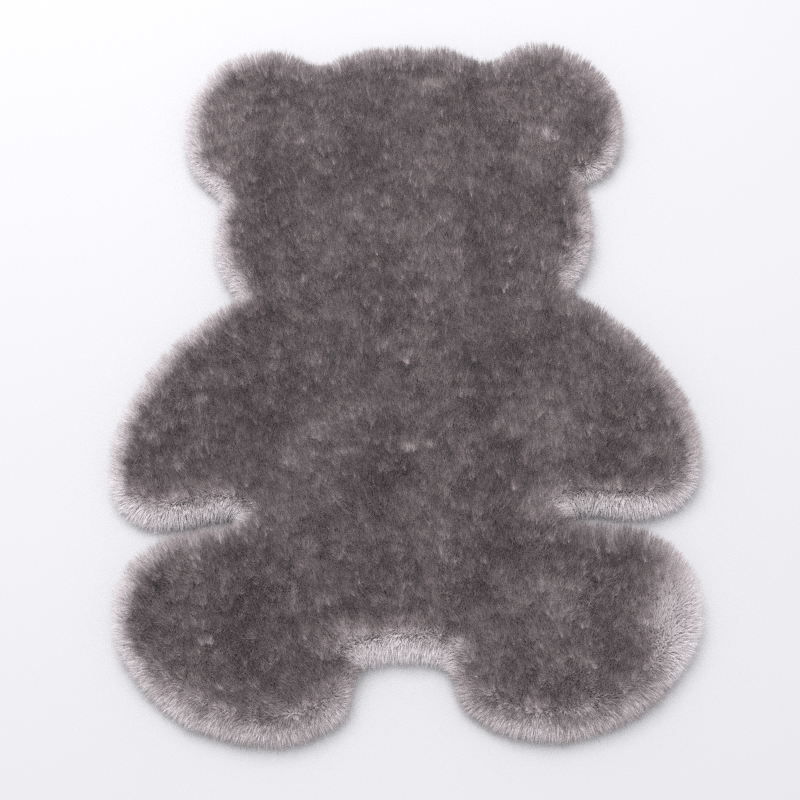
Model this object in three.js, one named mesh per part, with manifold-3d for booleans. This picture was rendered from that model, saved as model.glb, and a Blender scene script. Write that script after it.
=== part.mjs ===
// Bear-shaped fur rug, lying flat with its head towards +Y and its pile up (+Z).
// One piece: a slab of dense pile with a rounded rim and a softly uneven top, cut to a
// teddy-bear outline, with locks of longer fur standing out all round the rim.
// Millimetres; the origin is at the middle of the underside.

import * as THREE from 'three';
import { mergeVertices } from 'three/addons/utils/BufferGeometryUtils.js';
import Module from 'manifold-3d';

const wasm = await Module();
wasm.setup();

// Pile
const PILE_HEIGHT = 36;            // mean height of the pile's top above the floor
const TOP_CELL = 27;               // spacing of the points on the pile's top
const RIM_WIDEST = 10;             // height at which the rim stands out furthest
const RIM_ROUND_HEIGHT = 30;       // rounding of the rim, up and down from its widest line
const RIM_ROUND_WIDTH = 26;        // how far that rounding draws in
const RIM_ROUND_STEPS = 4;
const RIM_BAND = 0.5;              // upright band at the widest line
const FRINGE = 9;                  // from the slab's rim out to the outline of the fur tips
const OUTLINE_POINTS = 236;
const WELD = 0.001;                // points closer than this are one point

// Rim locks, in tiers one above another
const LOCK_COUNT = 276;
const LOCK_SIDES = 4;
const LOCK_RADIUS = 15;            // at the root, side to side
const LOCK_FLATNESS = 0.5;         // its height against its width
const LOCK_BURIED = 9;             // length inside the slab
const LOCK_UNEVEN = 3;             // how much longer or shorter a lock may stand out
const LOCK_SWING = 16;             // degrees to either side of straight out
const LOCK_SWING_STEP = 2.4;       // radians from one lock to the next of the uneven swing
const LOCK_UNEVEN_STEP = 1.7;      // and of the uneven length
const LOCK_TIERS = [
  { root: 8.5, rise: -6 },
  { root: 21, rise: 14 },
  { root: 14.5, rise: 3 },
];

const FUR_COLOUR = 0x645c5f;

// Round lobes of the outline of the fur tips, as on the right side, mirrored where side is -1.
// Each is an arc of a tilted ellipse and they run clockwise from the crown. The tilt and the
// ellipse's own angles from and to are in degrees. A notch between two lobes is a curve that goes
// on along the first for its trail and comes into the next along its lead.
const LOBES = [
  { name: 'crown', side: 1, x: 4, y: 58, across: 400, along: 400, tilt: 0,
    from: 101, to: 79, lead: 13, trail: 13 },
  { name: 'ear', side: 1, x: 184, y: 353, across: 97, along: 111, tilt: 22,
    from: 104, to: -72, lead: 13, trail: 12 },
  { name: 'cheek', side: 1, x: 167, y: 216, across: 69, along: 115, tilt: 10,
    from: 12, to: -60, lead: 12, trail: 12 },
  { name: 'arm', side: 1, x: 177, y: -27, across: 210, along: 119, tilt: -42,
    from: 105, to: -40, lead: 12, trail: 66 },
  { name: 'leg', side: 1, x: 192, y: -331, across: 156, along: 116, tilt: 26,
    from: 50, to: -176, lead: 60, trail: 10 },
  { name: 'crotch', side: 1, x: -4, y: -566, across: 200, along: 200, tilt: 0,
    from: 78, to: 102, lead: 10, trail: 10 },
  { name: 'leg', side: -1, x: 184, y: -336, across: 156, along: 118, tilt: 23,
    from: 50, to: -158, lead: 60, trail: 24 },
  { name: 'arm', side: -1, x: 205, y: -46, across: 191, along: 104, tilt: -50,
    from: 118, to: -38, lead: 12, trail: 66 },
  { name: 'cheek', side: -1, x: 162, y: 191, across: 79, along: 114, tilt: 7,
    from: 12, to: -50, lead: 12, trail: 14 },
  { name: 'ear', side: -1, x: 188, y: 341, across: 96, along: 114, tilt: 19,
    from: 104, to: -72, lead: 13, trail: 12 },
];

// Low swells of the pile's top: height, waves per metre across and along the rug, and phase.
const SWELLS = [
  { height: 0.9, across: 8.0, along: 0.0, phase: 0.4 },
  { height: 0.7, across: 0.0, along: 5.9, phase: 1.1 },
  { height: 0.8, across: 4.8, along: 10.5, phase: 2.3 },
  { height: 0.6, across: -12.5, along: 7.7, phase: 0.7 },
];

const METRE = 1000;
const UP = new THREE.Vector3(0, 0, 1);
const radians = THREE.MathUtils.degToRad;

function lobeArc({ side, x, y, across, along, tilt, from, to }) {
  const [first, last] = side > 0 ? [from, to] : [180 - to, 180 - from];
  return new THREE.EllipseCurve(side * x, y, across, along, radians(first), radians(last),
    first > last, radians(side * tilt));
}

function notchCurve(arc, nextArc, trail, lead) {
  const start = arc.getPoint(1);
  const end = nextArc.getPoint(0);
  const leave = arc.getTangent(1).multiplyScalar(trail).add(start);
  const enter = nextArc.getTangent(0).multiplyScalar(-lead).add(end);
  return new THREE.CubicBezierCurve(start, leave, enter, end);
}

function bearOutline() {
  const outline = new THREE.CurvePath();
  LOBES.forEach((lobe, index) => {
    const next = LOBES[(index + 1) % LOBES.length];
    const arc = lobeArc(lobe);
    const trail = lobe.side > 0 ? lobe.trail : lobe.lead;
    const lead = next.side > 0 ? next.lead : next.trail;
    outline.add(arc);
    outline.add(notchCurve(arc, lobeArc(next), trail, lead));
  });
  return outline;
}

function solid(geometry) {
  geometry.deleteAttribute('normal');
  geometry.deleteAttribute('uv');
  const merged = mergeVertices(geometry, WELD);
  return new wasm.Manifold(new wasm.Mesh({
    numProp: 3,
    vertProperties: new Float32Array(merged.attributes.position.array),
    triVerts: new Uint32Array(merged.index.array),
  }));
}

function swellAt(x, y) {
  return SWELLS.reduce((sum, { height, across, along, phase }) => {
    const turns = (across * x + along * y) / METRE;
    return sum + height * Math.sin(2 * Math.PI * turns + phase);
  }, 0);
}

// A block over the whole rug between two heights, its faces split into cells of the given size.
function block(box, bottom, top, cell) {
  const width = box.max.x - box.min.x + 2 * TOP_CELL;
  const length = box.max.y - box.min.y + 2 * TOP_CELL;
  const geometry = new THREE.BoxGeometry(width, length, top - bottom,
    Math.ceil(width / cell), Math.ceil(length / cell));
  geometry.translate((box.min.x + box.max.x) / 2, (box.min.y + box.max.y) / 2, (top + bottom) / 2);
  return geometry;
}

// All that lies under the pile's uneven top.
function underPileTop(box) {
  const geometry = block(box, -PILE_HEIGHT, PILE_HEIGHT, TOP_CELL);
  const spots = geometry.attributes.position;
  for (let i = 0; i < spots.count; i += 1) {
    if (spots.getZ(i) > 0) {
      spots.setZ(i, PILE_HEIGHT + swellAt(spots.getX(i), spots.getY(i)));
    }
  }
  return solid(geometry);
}

// All that lies above the floor.
function aboveFloor(box) {
  return solid(block(box, 0, 2 * PILE_HEIGHT, METRE));
}

// The slab is rounded above and below its widest line, then trimmed to the uneven top and the floor.
function pileSlab(outline) {
  const points = outline.getSpacedPoints(OUTLINE_POINTS).slice(0, -1);
  const slab = new THREE.ExtrudeGeometry(new THREE.Shape(points), {
    depth: RIM_BAND,
    bevelThickness: RIM_ROUND_HEIGHT,
    bevelSize: RIM_ROUND_WIDTH,
    bevelOffset: -RIM_ROUND_WIDTH - FRINGE,
    bevelSegments: RIM_ROUND_STEPS,
  });
  slab.translate(0, 0, RIM_WIDEST);
  slab.computeBoundingBox();
  const box = slab.boundingBox;
  return solid(slab).intersect(underPileTop(box)).intersect(aboveFloor(box));
}

// A lock is a slim pyramid that points out from the rim, with its root buried in the slab.
function rimLock(outline, index) {
  const tier = LOCK_TIERS[index % LOCK_TIERS.length];
  const rim = outline.getPointAt(index / LOCK_COUNT);
  const run = outline.getTangentAt(index / LOCK_COUNT);
  const out = new THREE.Vector3(-run.y, run.x, 0);
  const root = new THREE.Vector3(rim.x, rim.y, tier.root).addScaledVector(out, -LOCK_BURIED - FRINGE);
  const swing = radians(LOCK_SWING * Math.sin(LOCK_SWING_STEP * index));
  const direction = out.applyAxisAngle(UP, swing).setZ(Math.tan(radians(tier.rise))).normalize();
  const length = LOCK_BURIED + FRINGE + LOCK_UNEVEN * Math.sin(LOCK_UNEVEN_STEP * index);
  const lock = new THREE.ConeGeometry(LOCK_RADIUS, length, LOCK_SIDES);
  lock.scale(1, 1, LOCK_FLATNESS);
  lock.translate(0, length / 2, 0);
  const side = direction.clone().cross(UP).normalize();
  const place = new THREE.Matrix4().makeBasis(side, direction, side.clone().cross(direction));
  lock.applyMatrix4(place.setPosition(root));
  return solid(lock);
}

function furRug() {
  const outline = bearOutline();
  let fur = pileSlab(outline);
  for (let index = 0; index < LOCK_COUNT; index += 1) {
    fur = fur.add(rimLock(outline, index));
  }
  return fur;
}

function furMesh(fur, name) {
  const { numProp, vertProperties, triVerts } = fur.getMesh();
  const geometry = new THREE.BufferGeometry();
  geometry.setAttribute('position', new THREE.BufferAttribute(vertProperties, numProp));
  geometry.setIndex(new THREE.BufferAttribute(triVerts, 1));
  geometry.computeVertexNormals();
  const material = new THREE.MeshStandardMaterial({ color: FUR_COLOUR, roughness: 0.95, metalness: 0 });
  const mesh = new THREE.Mesh(geometry, material);
  mesh.name = name;
  return mesh;
}

// The uneven lock tips leave the box a little off the middle, so the mesh is shifted to it.
function centred(mesh) {
  const middle = new THREE.Box3().setFromObject(mesh).getCenter(new THREE.Vector3());
  mesh.position.set(-middle.x, -middle.y, 0);
  return mesh;
}

const rug = new THREE.Group();
rug.add(centred(furMesh(furRug(), 'bear_rug')));

export default rug;
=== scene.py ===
"""Bear-shaped rug of dense plush fur, lying flat: a base cloth packed with fine locks of fur.

The locks have near-white roots and dark tips. They stand up over the whole rug, splay out round its
rim and are combed down where an edge faces the feet, so that their pale lengths show there.
Metres, with the head towards +Y.
"""

import math
from collections import namedtuple

import bmesh
import bpy
import numpy as np
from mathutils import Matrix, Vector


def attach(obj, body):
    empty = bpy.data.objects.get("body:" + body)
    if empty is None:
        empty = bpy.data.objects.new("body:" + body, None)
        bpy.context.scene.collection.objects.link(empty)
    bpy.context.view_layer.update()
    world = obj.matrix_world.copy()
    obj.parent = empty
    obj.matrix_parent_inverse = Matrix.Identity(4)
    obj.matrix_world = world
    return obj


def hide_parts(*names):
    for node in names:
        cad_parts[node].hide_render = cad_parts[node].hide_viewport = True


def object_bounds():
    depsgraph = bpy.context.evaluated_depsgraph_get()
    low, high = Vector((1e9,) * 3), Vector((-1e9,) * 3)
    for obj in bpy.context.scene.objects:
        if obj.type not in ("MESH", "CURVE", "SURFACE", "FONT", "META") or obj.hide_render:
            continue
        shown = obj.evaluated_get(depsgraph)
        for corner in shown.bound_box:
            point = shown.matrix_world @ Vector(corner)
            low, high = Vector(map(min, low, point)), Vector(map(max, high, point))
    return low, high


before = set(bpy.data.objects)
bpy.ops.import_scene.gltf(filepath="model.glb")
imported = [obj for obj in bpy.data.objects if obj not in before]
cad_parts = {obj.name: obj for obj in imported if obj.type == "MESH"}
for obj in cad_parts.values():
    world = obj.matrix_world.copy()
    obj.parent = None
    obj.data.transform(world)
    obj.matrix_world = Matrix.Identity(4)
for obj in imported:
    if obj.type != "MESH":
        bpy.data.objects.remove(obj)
cad_low, cad_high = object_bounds()

MM = 0.001
SEED = 11

# Outline of the fur tips, in millimetres. Each lobe is an arc of a tilted ellipse, as on the right
# side and mirrored where side is -1, and they run clockwise from the crown. The tilt and the ellipse's
# own angles start and stop are in degrees. A notch between two lobes is a curve that goes on along
# the first lobe for its trail and comes into the next along its lead.
Lobe = namedtuple("Lobe", "name side x y across along tilt start stop lead trail")
LOBES = [
    Lobe("crown", 1, x=4, y=58, across=400, along=400, tilt=0, start=101, stop=79, lead=13, trail=13),
    Lobe("ear", 1, x=184, y=353, across=97, along=111, tilt=22, start=104, stop=-72, lead=13, trail=12),
    Lobe("cheek", 1, x=167, y=216, across=69, along=115, tilt=10, start=12, stop=-60, lead=12, trail=12),
    Lobe("arm", 1, x=177, y=-27, across=210, along=119, tilt=-42, start=105, stop=-40, lead=12, trail=66),
    Lobe("leg", 1, x=192, y=-331, across=156, along=116, tilt=26, start=50, stop=-176, lead=60, trail=10),
    Lobe("crotch", 1, x=-4, y=-566, across=200, along=200, tilt=0, start=78, stop=102, lead=10, trail=10),
    Lobe("leg", -1, x=184, y=-336, across=156, along=118, tilt=23, start=50, stop=-158, lead=60, trail=24),
    Lobe("arm", -1, x=205, y=-46, across=191, along=104, tilt=-50, start=118, stop=-38, lead=12, trail=66),
    Lobe("cheek", -1, x=162, y=191, across=79, along=114, tilt=7, start=12, stop=-50, lead=12, trail=14),
    Lobe("ear", -1, x=188, y=341, across=96, along=114, tilt=19, start=104, stop=-72, lead=13, trail=12),
]
ARC_STEPS = 90
NOTCH_STEPS = 40
OUTLINE_STEP = 2.5 * MM
FIELD_CELL = 2 * MM
FIELD_MARGIN = 24 * MM
FLAT_SLOPE = 0.05              # a weaker slope, as on a limb's middle line, gives less than a full way out
TINY = 1e-6

# Soft noise: its amount, the size of its lumps, and a number that sets its own random draw
Noise = namedtuple("Noise", "amount size draw")
NOISE_CELLS = 256

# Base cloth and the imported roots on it
BASE_INSET = 15 * MM           # from the outline of the tips in to the cloth's edge
BED_HEIGHT = 20 * MM
BED_ROUND = 20 * MM            # width of the bed's rounded rim
BED_EDGE = 1.2 * MM            # thickness of the bare cloth at its edge
BED_CELL = 4 * MM
BED_SNAP = (-0.7, 0.5)         # in cells, the depths between which points move onto the cloth's edge
STEEPEST_PLACE = 0.001         # the outermost place, as a share of the rounded rim, where its tilt is taken

# Locks of fur. The bands run from the cloth's edge inwards, with their sizes in millimetres.
PILE_HEIGHT = 36 * MM
LOCK_SIDES = 3
Band = namedtuple("Band", "name nearest furthest spacing radius bent")
BANDS = [
    Band("fringe", nearest=0.2, furthest=3.5, spacing=0.78, radius=0.6, bent=True),
    Band("edge", nearest=3.5, furthest=16, spacing=1.2, radius=1.15, bent=False),
    Band("top", nearest=16, furthest=1000, spacing=1.93, radius=1.85, bent=False),
]
BEND_PLACE = 0.6               # how far along a bent lock bends
BEND_RADIUS = 0.65             # its radius there against that at the root
BEND_DROOP = 0.12              # how much more than its mean lean the outer half leans
ROOT_DEPTH = 1.0 * MM
FLOOR_CLEARANCE = 0.5 * MM
FRINGE_UNEVEN = 3.0 * MM       # how unevenly the tips meet their outline
LENGTH_UNEVEN = 0.04           # how unevenly long the locks are, as a share of their length
LENGTH_NOISE = [Noise(1.2 * MM, 60 * MM, 40), Noise(1.0 * MM, 18 * MM, 41)]
LEAST_SPREAD = 0.1             # least outward share of a lock's length in working out its reach
NOTCH_SIZE = 30 * MM
NOTCH_SHORTER = 5 * MM         # how much shorter the locks are in a notch
HEAD_REACH = 7.0 * MM          # how much longer the locks are at an edge that faces the head

# Lean of the locks
RIM_LEAN = 0.90                # as a share of the tilt of the bed's rounded rim
RIM_LEAN_NAP = 0.15            # how much more at an edge that faces the head
COMB_DOWN = 52                 # degrees further at an edge that faces the feet
COMB_WIDTH = 6 * MM            # how far in from the cloth's edge that is so in full
COMB_EASE = 18 * MM            # and how much further in it fades out
COMB_UNEVEN = Noise(3.5 * MM, 12 * MM, 26)
RIM_LEAN_UNEVEN = 7            # degrees
LEAN_LIMIT = 98                # degrees
PILE_LEAN = (-0.08, 0.16)      # the whole pile's lean in radians, to the right and to the head
LEAN_NOISE = [Noise(0.10, 70 * MM, 20), Noise(0.16, 26 * MM, 22), Noise(0.18, 9 * MM, 24)]
LEAN_RANDOM = 0.12

# Tone of the locks, from 0 to 1: paler ones have shorter dark tips
TONE_MIDDLE = 0.5
TONE_ENDS = (0.02, 0.98)
TONE_NOISE = [Noise(0.025, 60 * MM, 30), Noise(0.037, 22 * MM, 31), Noise(0.034, 8 * MM, 32)]
TONE_STREAKS = Noise(0.025, 60 * MM, 33)
STREAK_STRETCH = 6             # how much longer across the rug than along it the streaks are
TONE_RANDOM = 0.036
RIM_TONE = 0.35                # how much paler the rim is
RIM_TONE_FACING = (-0.13, -0.29)   # and how that changes where an edge faces right or the head
RIM_TONE_WIDTH = 5 * MM
RIM_TONE_EASE = 11 * MM
RIM_TONE_UNEVEN = Noise(3 * MM, 14 * MM, 34)
FRINGE_TONE = 0.45             # share of that paleness at the cloth's very edge
FRINGE_TONE_WIDTH = 5 * MM
FEET_DARKER = 0.6              # share of it that is missing at the soles
FEET_PLACE = -0.33             # along Y, where that starts
FEET_EASE = 0.06
PAINTED_NAP_SHADE = 0.018            # painted shade: soft lighter and darker stripes along the rug, where the brushed nap catches the light more or less
PAINTED_NAP_SHADE_PITCH = 138 * MM
PAINTED_NAP_SHADE_PLACE = 31 * MM

# Patches of paler or darker fur, and a darker patch of painted shade in the belly's hollow, in millimetres
Spot = namedtuple("Spot", "name x y across along paler")
TONE_SPOTS = [
    Spot("left ear", x=-200, y=342, across=80, along=80, paler=0.07),
    Spot("right ear", x=200, y=350, across=75, along=75, paler=0.04),
    Spot("left arm", x=-255, y=-90, across=90, along=90, paler=-0.03),
    Spot("left leg", x=-198, y=-320, across=90, along=70, paler=-0.03),
    Spot("left sole", x=-135, y=-418, across=100, along=32, paler=0.06),
    Spot("right sole", x=190, y=-406, across=100, along=30, paler=0.02),
    Spot("right leg, outside", x=305, y=-328, across=26, along=44, paler=0.4),
    Spot("crotch", x=0, y=-352, across=70, along=22, paler=0.32),
    Spot("under left arm", x=-258, y=-190, across=85, along=16, paler=0.36),
    Spot("under right arm", x=264, y=-184, across=85, along=16, paler=0.42),
    # Painted shade: a darker patch where shade falls in the hollow of the belly's pile
    Spot("shaded belly hollow", x=-24, y=-150, across=48, along=16, paler=-0.06),
    Spot("belly nick", x=6, y=-113, across=8, along=5, paler=0.25),
    Spot("belly nick", x=29, y=-108, across=6, along=5, paler=0.19),
    Spot("belly nick", x=-28, y=-138, across=14, along=4, paler=0.15),
    Spot("belly nick", x=-64, y=-118, across=16, along=5, paler=0.10),
    Spot("ear nick", x=183, y=323, across=6, along=6, paler=0.25),
    Spot("crown nick", x=39, y=396, across=18, along=10, paler=0.14),
    Spot("arm nick", x=-248, y=-51, across=9, along=7, paler=0.19),
    Spot("arm nick", x=-302, y=-96, across=10, along=6, paler=0.19),
    Spot("arm nick", x=-303, y=15, across=8, along=11, paler=0.18),
]

# Pieces of the fur, from the head to the feet, and the place along Y where the next one starts
ZONES = {"head": 0.118, "arms": -0.128, "legs": -np.inf}


def ease(values):
    """A smooth step from 0 to 1."""
    held = np.clip(values, 0, 1)
    return held * held * (3 - 2 * held)


def soft_noise(x, y, size, seed):
    """Smooth noise from -1 to 1 with lumps of about the given size."""
    lattice = np.random.default_rng(SEED + seed).uniform(-1, 1, (NOISE_CELLS, NOISE_CELLS))
    across, along = x / size + NOISE_CELLS / 2, y / size + NOISE_CELLS / 2
    column, row = np.floor(across).astype(int), np.floor(along).astype(int)
    u, v = ease(across - column), ease(along - row)
    column, row = column % NOISE_CELLS, row % NOISE_CELLS
    right, above = (column + 1) % NOISE_CELLS, (row + 1) % NOISE_CELLS
    low = lattice[row, column] * (1 - u) + lattice[row, right] * u
    high = lattice[above, column] * (1 - u) + lattice[above, right] * u
    return low * (1 - v) + high * v


def noise_layer(noise, x, y, axis=0):
    """One soft noise, with a draw of its own for each axis."""
    return noise.amount * soft_noise(x, y, noise.size, noise.draw + axis)


def lobe_arc(lobe):
    """Points along a lobe, clockwise round the rug."""
    angles = np.radians(np.linspace(lobe.start, lobe.stop, ARC_STEPS))
    tilt = math.radians(lobe.tilt)
    across, along = lobe.across * np.cos(angles), lobe.along * np.sin(angles)
    x = lobe.x + across * math.cos(tilt) - along * math.sin(tilt)
    y = lobe.y + across * math.sin(tilt) + along * math.cos(tilt)
    arc = np.column_stack((lobe.side * x, y))
    return arc if lobe.side > 0 else arc[::-1]


def direction(vector):
    """The vector made one unit long."""
    return vector / np.linalg.norm(vector)


def notch_curve(arc, next_arc, trail, lead):
    """Points from the end of one arc to the start of the next, without either end."""
    t = np.linspace(0, 1, NOTCH_STEPS + 2)[1:-1, None]
    start, end = arc[-1], next_arc[0]
    leave = start + trail * direction(arc[-1] - arc[-2])
    enter = end - lead * direction(next_arc[1] - next_arc[0])
    return (1 - t) ** 3 * start + 3 * (1 - t) ** 2 * t * leave + 3 * (1 - t) * t**2 * enter + t**3 * end


def even_loop(points, step):
    """A closed line's points spaced evenly."""
    closed = np.vstack((points, points[:1]))
    run = np.concatenate(([0], np.cumsum(np.linalg.norm(np.diff(closed, axis=0), axis=1))))
    stops = np.linspace(0, run[-1], int(run[-1] / step), endpoint=False)
    return np.column_stack([np.interp(stops, run, closed[:, axis]) for axis in (0, 1)])


def bear_outline():
    """The outline of the fur tips and the middles of its notches, in metres."""
    stretches, notches = [], []
    for index, lobe in enumerate(LOBES):
        following = LOBES[(index + 1) % len(LOBES)]
        trail = lobe.trail if lobe.side > 0 else lobe.lead
        lead = following.lead if following.side > 0 else following.trail
        arc = lobe_arc(lobe)
        notch = notch_curve(arc, lobe_arc(following), trail, lead)
        stretches += [arc, notch]
        notches.append(notch[NOTCH_STEPS // 2] * MM)
    return even_loop(np.vstack(stretches) * MM, OUTLINE_STEP), np.array(notches)


class RimField:
    """How deep a spot lies inside the cloth's edge, and which way is out, on a fine grid."""

    def __init__(self, outline, notches):
        self.notches = notches
        self.low = outline.min(0) - FIELD_MARGIN
        counts = np.ceil((outline.max(0) + FIELD_MARGIN - self.low) / FIELD_CELL).astype(int) + 1
        columns = self.low[0] + FIELD_CELL * np.arange(counts[0])
        rows = self.low[1] + FIELD_CELL * np.arange(counts[1])
        run = np.roll(outline, -1, axis=0) - np.roll(outline, 1, axis=0)
        outward = np.column_stack((-run[:, 1], run[:, 0]))
        depth = np.empty((len(rows), len(columns)))
        for index, y in enumerate(rows):
            across = columns[:, None] - outline[:, 0]
            along = np.broadcast_to(y - outline[:, 1], across.shape)
            distance = np.hypot(across, along)
            nearest = distance.argmin(1)
            spot = np.arange(len(columns))
            away = np.column_stack((across[spot, nearest], along[spot, nearest]))
            outside = np.sign((away * outward[nearest]).sum(1))
            depth[index] = -outside * distance[spot, nearest]
        self.depth = depth - BASE_INSET
        slope_y, slope_x = np.gradient(self.depth, FIELD_CELL)
        self.out_x, self.out_y = -slope_x, -slope_y

    def sample(self, grid, x, y):
        """A grid's values at these spots, blended between its points."""
        across, along = (x - self.low[0]) / FIELD_CELL, (y - self.low[1]) / FIELD_CELL
        column = np.clip(np.floor(across).astype(int), 0, grid.shape[1] - 2)
        row = np.clip(np.floor(along).astype(int), 0, grid.shape[0] - 2)
        u, v = across - column, along - row
        low = grid[row, column] * (1 - u) + grid[row, column + 1] * u
        high = grid[row + 1, column] * (1 - u) + grid[row + 1, column + 1] * u
        return low * (1 - v) + high * v

    def depth_at(self, x, y):
        """How deep these spots lie inside the cloth's edge."""
        return self.sample(self.depth, x, y)

    def outward_at(self, x, y):
        """The way out to the nearest edge from these spots."""
        out = np.column_stack((self.sample(self.out_x, x, y), self.sample(self.out_y, x, y)))
        return out / np.maximum(np.linalg.norm(out, axis=1, keepdims=True), FLAT_SLOPE)

    def notched_at(self, x, y):
        """1 at the middle of a notch, falling to 0 away from it."""
        away = np.hypot(x[:, None] - self.notches[:, 0], y[:, None] - self.notches[:, 1])
        return np.exp(-((away.min(1) / NOTCH_SIZE) ** 2))


def bed_height(depth):
    """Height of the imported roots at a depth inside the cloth's edge."""
    inwards = np.clip(depth / BED_ROUND, 0, 1)
    return BED_EDGE + (BED_HEIGHT - BED_EDGE) * np.sqrt(1 - (1 - inwards) ** 2)


def bed_tilt(depth):
    """How far the bed's rounded rim is tilted out there, in radians."""
    inwards = np.clip(depth / BED_ROUND, STEEPEST_PLACE, 1)
    drop = (BED_HEIGHT - BED_EDGE) / BED_ROUND
    return np.arctan(drop * (1 - inwards) / np.sqrt(1 - (1 - inwards) ** 2))


def root_spots(field, spacing, nearest, furthest, seed):
    """Spots on the cloth in a shaken triangular pattern, between two depths inside its edge."""
    rng = np.random.default_rng(SEED + seed)
    row_step = spacing * math.sqrt(3) / 2
    columns = int((cad_high.x - cad_low.x) / spacing) + 2
    rows = int((cad_high.y - cad_low.y) / row_step) + 2
    column, row = np.meshgrid(np.arange(columns), np.arange(rows))
    x = cad_low.x + spacing * (column + 0.5 * (row % 2)).ravel()
    y = cad_low.y + row_step * row.ravel()
    x = x + spacing * rng.uniform(-0.5, 0.5, x.size)
    y = y + spacing * rng.uniform(-0.5, 0.5, y.size)
    depth = field.depth_at(x, y)
    kept = (depth > nearest) & (depth <= furthest)
    return x[kept], y[kept], depth[kept]


def pile_lean(field, x, y, depth, rng):
    """Which way and how far each lock leans, in radians, as a vector on the floor."""
    lean = np.empty((x.size, 2))
    for axis in (0, 1):
        lumps = sum(noise_layer(noise, x, y, axis) for noise in LEAN_NOISE)
        lean[:, axis] = PILE_LEAN[axis] + lumps + LEAN_RANDOM * rng.normal(0, 1, x.size)
    outward = field.outward_at(x, y)
    facing = outward[:, 1]
    splay = bed_tilt(depth) * (RIM_LEAN + RIM_LEAN_NAP * np.maximum(facing, 0))
    ragged = depth + noise_layer(COMB_UNEVEN, x, y)
    combed = ease(-facing) * (1 - ease((ragged - COMB_WIDTH) / COMB_EASE))
    splay += math.radians(COMB_DOWN) * combed
    splay += math.radians(RIM_LEAN_UNEVEN) * rng.normal(0, 1, x.size) * (depth < BED_ROUND)
    return lean + outward * splay[:, None]


def lock_tone(field, x, y, depth, rng):
    """How pale each lock is, from 0 to 1."""
    rim = RIM_TONE + field.outward_at(x, y) @ np.array(RIM_TONE_FACING)
    inwards = depth + noise_layer(RIM_TONE_UNEVEN, x, y)
    rim *= 1 - ease((inwards - RIM_TONE_WIDTH) / RIM_TONE_EASE)
    rim *= FRINGE_TONE + (1 - FRINGE_TONE) * ease(depth / FRINGE_TONE_WIDTH)
    rim *= 1 - FEET_DARKER * ease((FEET_PLACE - y) / FEET_EASE)
    # Painted shade of the brushed nap: soft lighter and darker stripes along the rug
    tone = TONE_MIDDLE + PAINTED_NAP_SHADE * np.cos(2 * np.pi * (x - PAINTED_NAP_SHADE_PLACE) / PAINTED_NAP_SHADE_PITCH)
    tone += sum(noise_layer(noise, x, y) for noise in TONE_NOISE)
    tone += noise_layer(TONE_STREAKS, x, y * STREAK_STRETCH)
    tone += TONE_RANDOM * rng.normal(0, 1, x.size) + rim
    for spot in TONE_SPOTS:
        away = ((x / MM - spot.x) / spot.across) ** 2 + ((y / MM - spot.y) / spot.along) ** 2
        tone += spot.paler * np.exp(-away)
    return np.clip(tone, *TONE_ENDS)


def aim(lean, share):
    """Unit directions of locks that lean by a share of their full lean."""
    angle = np.linalg.norm(lean, axis=1)
    flat = lean / np.maximum(angle, TINY)[:, None]
    angle = np.minimum(angle * share, math.radians(LEAN_LIMIT))
    return np.column_stack((flat * np.sin(angle)[:, None], np.cos(angle)))


def ring(centre, axis, radius, turn):
    """Three points round each lock's axis."""
    side = np.column_stack((-axis[:, 1], axis[:, 0], np.zeros(len(axis))))
    length = np.linalg.norm(side, axis=1, keepdims=True)
    side = np.where(length > TINY, side / np.maximum(length, TINY), (1.0, 0.0, 0.0))
    other = np.cross(axis, side)
    corners = []
    for corner in range(LOCK_SIDES):
        angle = turn + 2 * np.pi * corner / LOCK_SIDES
        offset = np.cos(angle)[:, None] * side + np.sin(angle)[:, None] * other
        corners.append(centre + radius * offset)
    return corners


TONE_STRIP = 1 / 300           # width of a lock's strip on its map
ROOT_SLIVER = 0.01             # height there of its hidden end
STRIP_ENDS = (0.02, 0.98)


def strip_height(share):
    """Where on the map a place along a lock's fibres is."""
    return STRIP_ENDS[0] + (STRIP_ENDS[1] - STRIP_ENDS[0]) * share


def join_locks(name, rings, tips, heights, tone):
    """One mesh of many locks. Each is a stack of three-cornered rings that ends in a point.

    The map holds each lock's tone across and the place along its fibres upwards.
    """
    levels = len(rings)
    points = np.stack([corner for level in rings for corner in level] + [tips], axis=1)
    stride = points.shape[1]
    left, right = -TONE_STRIP / 2, TONE_STRIP / 2
    bottom, top = heights[0], np.ones(len(tips))
    faces = [[(0, left, bottom), (2, right, bottom), (1, 0.0, bottom + ROOT_SLIVER)]]
    for level in range(levels):
        for corner in range(LOCK_SIDES):
            a = LOCK_SIDES * level + corner
            b = LOCK_SIDES * level + (corner + 1) % LOCK_SIDES
            face = [(a, left, heights[level]), (b, right, heights[level])]
            if level + 1 < levels:
                above = heights[level + 1]
                face += [(b + LOCK_SIDES, right, above), (a + LOCK_SIDES, left, above)]
            else:
                face += [(stride - 1, 0.0, top)]
            faces.append(face)
    starts = stride * np.arange(len(tips))
    polygons, map_points = [], []
    for face in faces:
        polygons += (starts[:, None] + [corner[0] for corner in face]).tolist()
        across = tone[:, None] + [corner[1] for corner in face]
        upwards = strip_height(np.stack([corner[2] for corner in face], axis=1))
        map_points.append(np.stack((across, upwards), axis=-1).reshape(-1))
    mesh = bpy.data.meshes.new(name)
    mesh.from_pydata(points.reshape(-1, 3).tolist(), [], polygons)
    layer = mesh.uv_layers.new(name="OFBake")
    layer.uv.foreach_set("vector", np.concatenate(map_points))
    piece = bpy.data.objects.new(name, mesh)
    bpy.context.scene.collection.objects.link(piece)
    return piece


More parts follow.
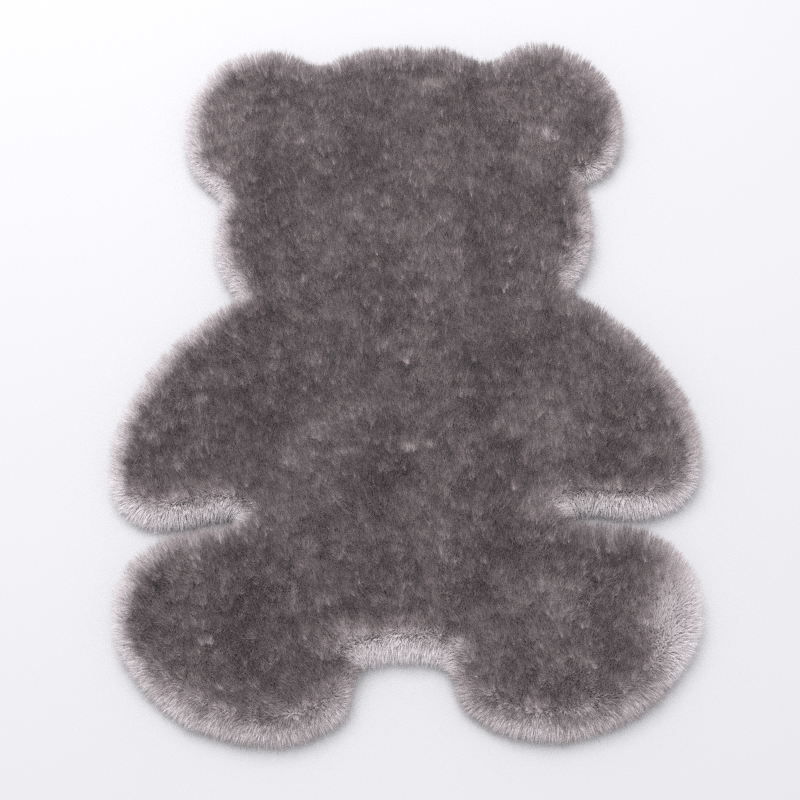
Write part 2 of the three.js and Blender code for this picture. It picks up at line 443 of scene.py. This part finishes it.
def lock_length(field, x, y, depth, root_height, lean, rng):
    """Full pile length, but no further out than the outline of the tips."""
    angle = np.linalg.norm(lean, axis=1)
    extra = HEAD_REACH * np.maximum(field.outward_at(x, y)[:, 1], 0)
    extra -= (extra + NOTCH_SHORTER) * field.notched_at(x, y)
    full = (PILE_HEIGHT - root_height) * (1 + LENGTH_UNEVEN * rng.normal(0, 1, depth.size))
    full += extra * (1 - ease(depth / BED_ROUND))
    reach = BASE_INSET + depth + FRINGE_UNEVEN * rng.normal(0, 1, depth.size)
    reach += extra
    spread = np.maximum(np.sin(np.minimum(angle, np.pi / 2)), LEAST_SPREAD)
    return np.minimum(full, reach / spread)


def band_locks(field, band, seed):
    """The rings, tips, places along the fibres and tones of one band's locks."""
    x, y, depth = root_spots(field, band.spacing * MM, band.nearest * MM, band.furthest * MM, seed)
    rng = np.random.default_rng(SEED + seed + 1)
    lean = pile_lean(field, x, y, depth, rng)
    tone = lock_tone(field, x, y, depth, rng)
    turn = rng.uniform(0, 2 * np.pi, x.size)
    height = np.maximum(bed_height(depth) - ROOT_DEPTH, FLOOR_CLEARANCE)
    length = lock_length(field, x, y, depth, height, lean, rng)
    length += sum(noise_layer(noise, x, y) for noise in LENGTH_NOISE)
    root = np.column_stack((x, y, height))
    radius = band.radius * MM
    start = height / PILE_HEIGHT
    if band.bent:
        lower, upper = aim(lean, 1 - BEND_DROOP), aim(lean, 1 + BEND_DROOP)
        bend = root + lower * (length * BEND_PLACE)[:, None]
        tips = bend + upper * (length * (1 - BEND_PLACE))[:, None]
        rings = [ring(root, lower, radius, turn), ring(bend, upper, BEND_RADIUS * radius, turn)]
        heights = [start, start + (1 - start) * BEND_PLACE]
    else:
        axis = aim(lean, 1.0)
        tips = root + axis * length[:, None]
        rings = [ring(root, axis, radius, turn)]
        heights = [start]
    for points in [tips, *(corner for level in rings for corner in level)]:
        points[:, 2] = np.maximum(points[:, 2], FLOOR_CLEARANCE)
    return rings, tips, heights, tone, y


def band_pieces(field, band, seed):
    """One piece of the band for each zone of the rug."""
    rings, tips, heights, tone, y = band_locks(field, band, seed)
    pieces = []
    upper = np.inf
    for zone, lower in ZONES.items():
        kept = (y >= lower) & (y < upper)
        zone_rings = [[corner[kept] for corner in level] for level in rings]
        zone_heights = [height[kept] for height in heights]
        name = band.name + "_" + zone
        pieces.append(join_locks(name, zone_rings, tips[kept], zone_heights, tone[kept]))
        upper = lower
    return pieces


def pile_bed(field):
    """The base cloth with its packed roots: a low bed with a flat underside and a rounded rim."""
    bed = bmesh.new()
    columns, rows = (int((high - low) / BED_CELL) for low, high in zip(cad_low[:2], cad_high[:2]))
    bmesh.ops.create_grid(bed, x_segments=columns, y_segments=rows, size=0.5)
    for vert in bed.verts:
        vert.co.x *= cad_high.x - cad_low.x
        vert.co.y *= cad_high.y - cad_low.y
    spots = np.array([vert.co[:2] for vert in bed.verts])
    depth = field.depth_at(spots[:, 0], spots[:, 1])
    outward = field.outward_at(spots[:, 0], spots[:, 1])
    furthest_out, furthest_in = (cells * BED_CELL for cells in BED_SNAP)
    stray = [vert for vert, inside in zip(bed.verts, depth) if inside < furthest_out]
    for vert, inside, out in zip(bed.verts, depth, outward):
        if furthest_out <= inside < furthest_in:
            vert.co.x += out[0] * inside
            vert.co.y += out[1] * inside
    bmesh.ops.delete(bed, geom=stray, context="VERTS")
    loose = [vert for vert in bed.verts if not vert.link_faces]
    bmesh.ops.delete(bed, geom=loose, context="VERTS")
    for face in bed.faces:
        if face.normal.z < 0:
            face.normal_flip()
    under = list(bed.faces)
    raised = bmesh.ops.extrude_face_region(bed, geom=under)
    tops = [part for part in raised["geom"] if isinstance(part, bmesh.types.BMVert)]
    spots = np.array([vert.co[:2] for vert in tops])
    heights = bed_height(field.depth_at(spots[:, 0], spots[:, 1]))
    for vert, height in zip(tops, heights):
        vert.co.z = height
    bmesh.ops.recalc_face_normals(bed, faces=bed.faces)
    mesh = bpy.data.meshes.new("pile_bed")
    bed.to_mesh(mesh)
    bed.free()
    piece = bpy.data.objects.new("pile_bed", mesh)
    bpy.context.scene.collection.objects.link(piece)
    return piece


def principled(name):
    """A new material with its nodes, its links and its shader."""
    material = bpy.data.materials.new(name)
    material.use_nodes = True
    tree = material.node_tree
    return material, tree.nodes, tree.links, tree.nodes["Principled BSDF"]


def srgb(red, green, blue):
    """A screen colour, 0 to 255, as the light values that a shader takes."""
    values = [channel / 255 for channel in (red, green, blue)]
    return [*(v / 12.92 if v <= 0.04045 else ((v + 0.055) / 1.055) ** 2.4 for v in values), 1.0]


FUR_STOPS = [
    (0.00, srgb(249, 246, 247)),
    (0.60, srgb(242, 236, 238)),
    (0.76, srgb(196, 184, 185)),
    (0.88, srgb(154, 144, 147)),
    (1.00, srgb(111, 104, 107)),
]
TONE_REACH = 0.8               # how much longer the dark tip of the darkest lock is than the palest's
FUR_ROUGHNESS = 0.7
FUR_SPECULAR = 0.2
FUR_SHEEN = 0.1
FUR_SHEEN_ROUGHNESS = 0.5
ROOT_STOPS = [(0.0, srgb(222, 215, 215)), (1.0, srgb(246, 241, 241))]
ROOT_ROUGHNESS = 0.9
ROOT_GRAIN_SCALE = 700
ROOT_GRAIN_DETAIL = 3
ROOT_BUMP = 0.6
ROOT_BUMP_HEIGHT = 0.8 * MM


def colour_ramp(nodes, stops):
    """A colour ramp with these places and colours, the first at 0 and the last at 1."""
    ramp = nodes.new("ShaderNodeValToRGB")
    elements = ramp.color_ramp.elements
    elements[0].color = stops[0][1]
    elements[1].color = stops[-1][1]
    for place, colour in stops[1:-1]:
        elements.new(place).color = colour
    return ramp


def fur_finish():
    """Plush fibre: near-white at the root, pinkish grey along it and dark at the tip."""
    material, nodes, links, shader = principled("plush_fur")
    place = nodes.new("ShaderNodeUVMap")
    place.uv_map = "OFBake"
    split = nodes.new("ShaderNodeSeparateXYZ")
    links.new(place.outputs["UV"], split.inputs["Vector"])
    shift = nodes.new("ShaderNodeMath")
    shift.operation = "MULTIPLY_ADD"
    shift.inputs[1].default_value = -TONE_REACH
    shift.inputs[2].default_value = TONE_REACH * TONE_MIDDLE
    links.new(split.outputs["X"], shift.inputs[0])
    along = nodes.new("ShaderNodeMath")
    along.operation = "ADD"
    links.new(split.outputs["Y"], along.inputs[0])
    links.new(shift.outputs["Value"], along.inputs[1])
    ramp = colour_ramp(nodes, FUR_STOPS)
    links.new(along.outputs["Value"], ramp.inputs["Fac"])
    links.new(ramp.outputs["Color"], shader.inputs["Base Color"])
    shader.inputs["Roughness"].default_value = FUR_ROUGHNESS
    shader.inputs["Specular IOR Level"].default_value = FUR_SPECULAR
    shader.inputs["Sheen Weight"].default_value = FUR_SHEEN
    shader.inputs["Sheen Roughness"].default_value = FUR_SHEEN_ROUGHNESS
    return material


def bed_finish():
    """Packed roots over the base cloth: pale, with a fine grain."""
    material, nodes, links, shader = principled("packed_roots")
    place = nodes.new("ShaderNodeTexCoord")
    grain = nodes.new("ShaderNodeTexNoise")
    grain.inputs["Scale"].default_value = ROOT_GRAIN_SCALE
    grain.inputs["Detail"].default_value = ROOT_GRAIN_DETAIL
    links.new(place.outputs["Object"], grain.inputs["Vector"])
    ramp = colour_ramp(nodes, ROOT_STOPS)
    links.new(grain.outputs["Fac"], ramp.inputs["Fac"])
    links.new(ramp.outputs["Color"], shader.inputs["Base Color"])
    bump = nodes.new("ShaderNodeBump")
    bump.inputs["Strength"].default_value = ROOT_BUMP
    bump.inputs["Distance"].default_value = ROOT_BUMP_HEIGHT
    links.new(grain.outputs["Fac"], bump.inputs["Height"])
    links.new(bump.outputs["Normal"], shader.inputs["Normal"])
    shader.inputs["Roughness"].default_value = ROOT_ROUGHNESS
    return material


# Camera, as in an 800 x 800 picture
PICTURE = 800
CAMERA_AIM = (-1.5 * MM, -64.3 * MM, 12 * MM)
AIM_PIXEL = (404, 417.5)
CAMERA_ELEVATION = 67
CAMERA_DISTANCE = 2.0
PIXEL_AT_AIM = 1.2035 * MM
SENSOR = 36


def set_camera():
    """A camera in front of the feet that looks down at the rug."""
    data = bpy.data.cameras.new("camera")
    data.sensor_width = SENSOR
    data.lens = SENSOR * CAMERA_DISTANCE / PIXEL_AT_AIM / PICTURE
    data.shift_x = (PICTURE / 2 - AIM_PIXEL[0]) / PICTURE
    data.shift_y = (AIM_PIXEL[1] - PICTURE / 2) / PICTURE
    camera = bpy.data.objects.new("camera", data)
    rise = math.radians(CAMERA_ELEVATION)
    camera.location = (
        CAMERA_AIM[0],
        CAMERA_AIM[1] - CAMERA_DISTANCE * math.cos(rise),
        CAMERA_AIM[2] + CAMERA_DISTANCE * math.sin(rise),
    )
    camera.rotation_euler = (math.pi / 2 - rise, 0, 0)
    bpy.context.scene.collection.objects.link(camera)
    bpy.context.scene.camera = camera


# Floor and light
FLOOR_SIDE = 14.0
FLOOR_ROUGHNESS = 0.8
FLOOR_COLOUR = srgb(211, 211, 213)
SKY_COLOUR = srgb(247, 247, 250)
SKY_STRENGTH = 0.84
SOFTBOX_SIZE = 2.6
SOFTBOX_PLACE = (-0.6, 1.5, 3.1)
SOFTBOX_POWER = 97


def lay_floor():
    """A plain pale floor."""
    shape = bmesh.new()
    bmesh.ops.create_grid(shape, x_segments=1, y_segments=1, size=FLOOR_SIDE / 2)
    mesh = bpy.data.meshes.new("floor")
    shape.to_mesh(mesh)
    shape.free()
    floor = bpy.data.objects.new("floor", mesh)
    bpy.context.scene.collection.objects.link(floor)
    material, _, _, shader = principled("floor_paint")
    shader.inputs["Base Color"].default_value = FLOOR_COLOUR
    shader.inputs["Roughness"].default_value = FLOOR_ROUGHNESS
    mesh.materials.append(material)


def light_studio():
    """Soft light from all round, and a large softbox beyond the head and to the left."""
    world = bpy.data.worlds.new("studio")
    world.use_nodes = True
    sky = world.node_tree.nodes["Background"]
    sky.inputs["Color"].default_value = SKY_COLOUR
    sky.inputs["Strength"].default_value = SKY_STRENGTH
    bpy.context.scene.world = world
    light = bpy.data.lights.new("softbox", "AREA")
    light.size = SOFTBOX_SIZE
    light.energy = SOFTBOX_POWER
    softbox = bpy.data.objects.new("softbox", light)
    softbox.location = SOFTBOX_PLACE
    softbox.rotation_euler = (-softbox.location).to_track_quat("-Z", "Y").to_euler()
    bpy.context.scene.collection.objects.link(softbox)
    bpy.context.scene.view_settings.view_transform = "Standard"
    bpy.context.scene.cycles.use_denoising = False


def build_rug():
    """The bed and its locks, each riding on the rug's one body."""
    field = RimField(*bear_outline())
    bed = pile_bed(field)
    bed.data.materials.append(bed_finish())
    fur = fur_finish()
    locks = []
    for number, band in enumerate(BANDS):
        locks += band_pieces(field, band, 2 * number + 1)
    for piece in locks:
        piece.data.materials.append(fur)
    for piece in [bed, *locks]:
        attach(piece, "root")
    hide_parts("bear_rug")


set_camera()
lay_floor()
light_studio()
build_rug()
